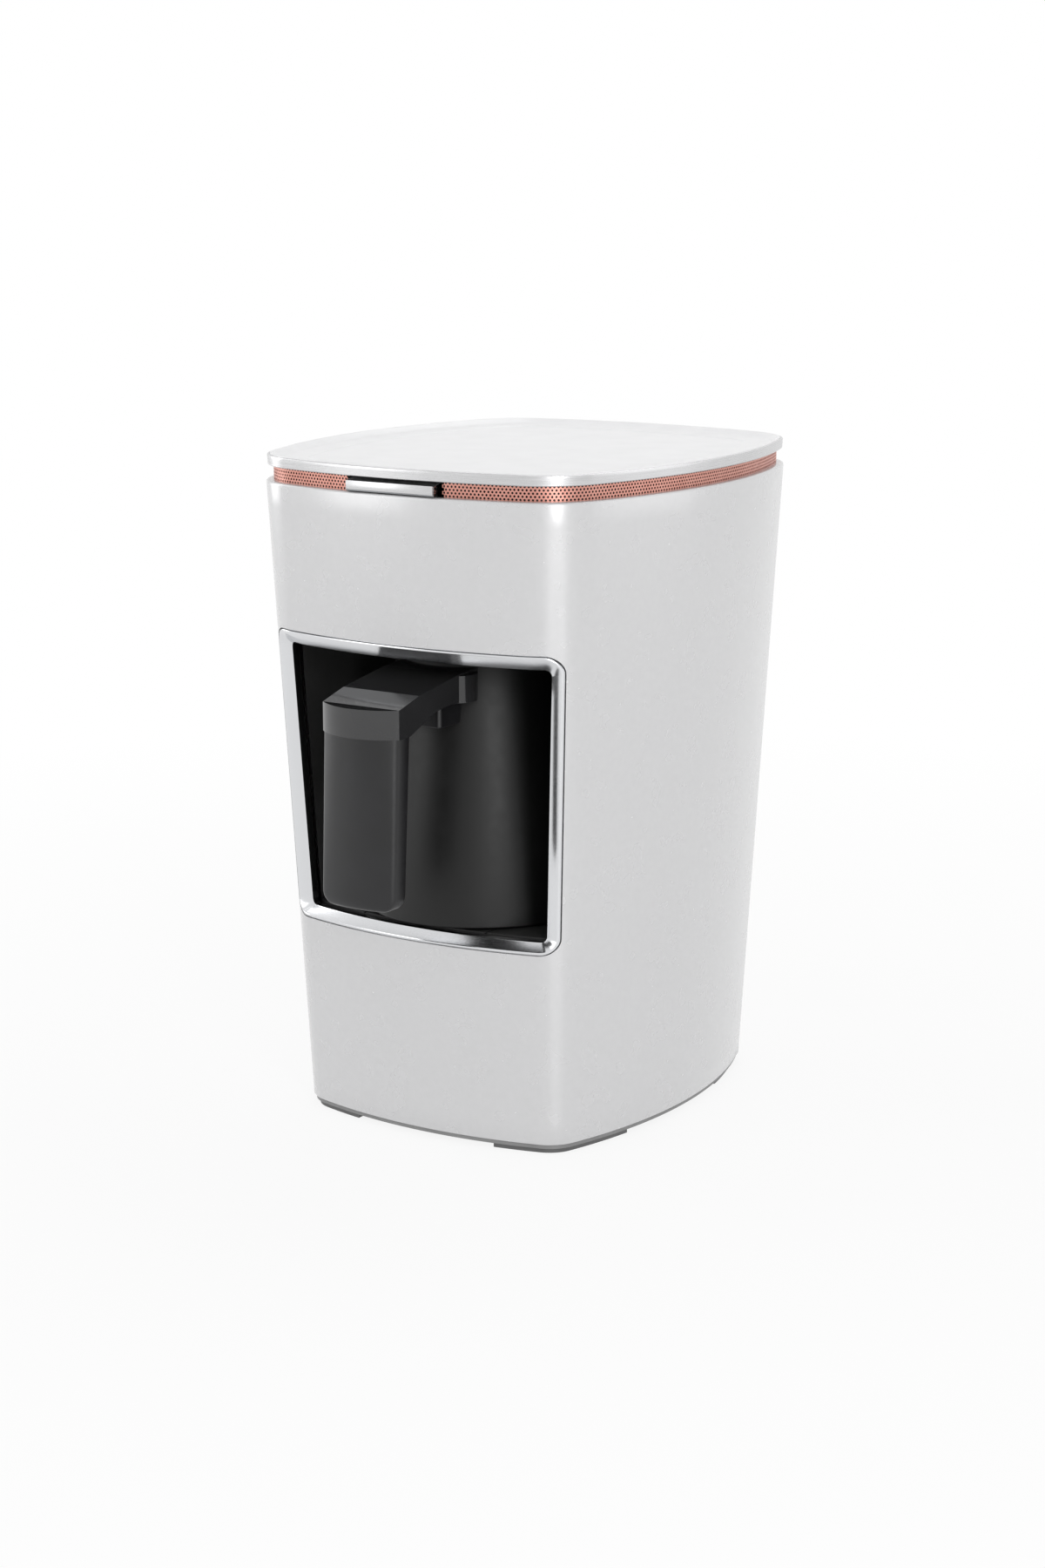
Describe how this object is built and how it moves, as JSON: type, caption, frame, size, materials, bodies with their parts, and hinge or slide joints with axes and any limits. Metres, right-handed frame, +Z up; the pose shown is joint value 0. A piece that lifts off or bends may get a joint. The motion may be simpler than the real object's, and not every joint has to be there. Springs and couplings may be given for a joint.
{
  "type": "electric turkish coffee maker",
  "caption": "Waisted countertop machine that brews coffee in a heated pull-out pot behind a front window, started by one bar button under its flat lid.",
  "frame": {"origin": "on the surface it stands on, under the middle of the whole object's length and width", "axes": "+Z up, -Y towards the front with the window and the pot's handle, +X to the right seen from the front"},
  "size_m": [0.1844, 0.2376, 0.28],
  "materials": {
    "pearl_paint": "pearl silver-white gloss paint",
    "satin_chrome": "satin chrome, bevelled",
    "brushed_trim": "brushed along its length",
    "copper_mesh": "rose gold anodised, perforated",
    "white_lid": "white, semi-gloss",
    "black_liner": "black, fine satin",
    "black_gloss": "black, high gloss",
    "black_satin": "black, satin",
    "grey_plastic": "mid grey, moulded",
    "rubber": "moulded rubber",
    "steel": "plain steel",
    "aluminium": "cast heater plate",
    "board_green": "circuit board",
    "lens": "dark clear lens"
  },
  "bodies": {
    "casing": {"outer_shell": "pearl_paint", "window_frame": "satin_chrome", "chamber_liner": "black_liner", "chamber_floor": "black_liner", "chamber_pedestal": "grey_plastic", "base_plate": "grey_plastic", "base_screws": "steel", "foot_front_left": "rubber", "foot_rear_left": "rubber", "foot_front_right": "rubber", "foot_rear_right": "rubber", "vent_ring": "black_liner", "vent_band": "copper_mesh", "top_cover": "white_lid", "lid_trim": "brushed_trim", "button_guide": "black_liner", "button_springs": "steel", "start_switch": "black_satin", "chamber_socket": "black_satin", "sensor_lens": "lens", "sensor_housing": "grey_plastic", "control_board": "board_green", "board_standoffs": "steel", "board_relays": "black_satin", "board_capacitor": "black_satin", "buzzer": "black_satin", "cord_gland": "black_satin"},
    "button": {"start_button": "satin_chrome"},
    "pot": {"pot_body": "black_gloss", "heater_plate": "aluminium", "pot_base_cover": "black_satin", "pot_connector": "black_satin", "handle_arm": "black_gloss", "handle_grip": "black_satin", "handle_lug": "black_satin"}
  },
  "joints": [
    {"name": "button_press", "type": "slide", "parent": "casing", "child": "button", "axis": [0, 1, 0], "range_m": [0, 0.0015], "stiffness_N_per_m": 800, "springref_m": -0.0006, "deforming": ["button_springs"]},
    {"name": "pot_pull_out", "type": "slide", "parent": "casing", "child": "pot", "axis": [0, -1, 0], "range_m": [0, 0.13]}
  ]
}
